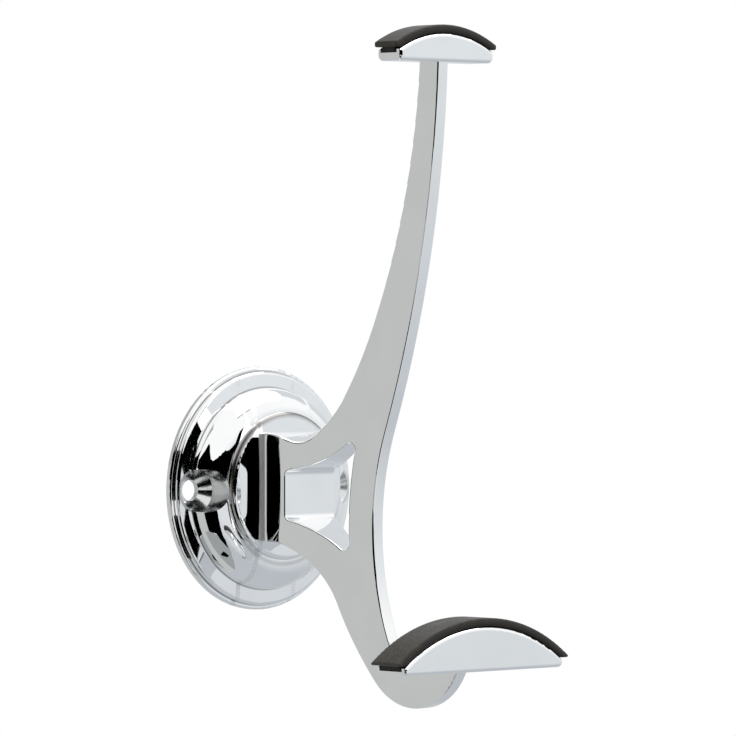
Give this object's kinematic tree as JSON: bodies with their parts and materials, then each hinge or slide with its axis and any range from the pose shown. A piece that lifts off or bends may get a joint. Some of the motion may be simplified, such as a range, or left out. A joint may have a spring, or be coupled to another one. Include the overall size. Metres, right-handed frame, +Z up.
{
  "type": "coat hook",
  "caption": "Wall-mounted hat and coat hook: a stepped round rosette carries a flat curved arm with a window, ending in a high and a low crescent head, each topped by a rubber pad.",
  "frame": {"origin": "on the wall plane, at the middle of the rosette and of its two screw holes", "axes": "+X to the right seen from the room, +Y into the wall, +Z up; the hook reaches out along -Y"},
  "size_m": [0.052, 0.0699, 0.1421],
  "materials": {
    "bright_plate": "polished bright plate on a zinc die casting",
    "pad_rubber": "matt dark brown-black moulded rubber"
  },
  "bodies": {
    "root": {"hook_casting": "bright_plate", "upper_pad": "pad_rubber", "lower_pad": "pad_rubber"}
  },
  "joints": []
}
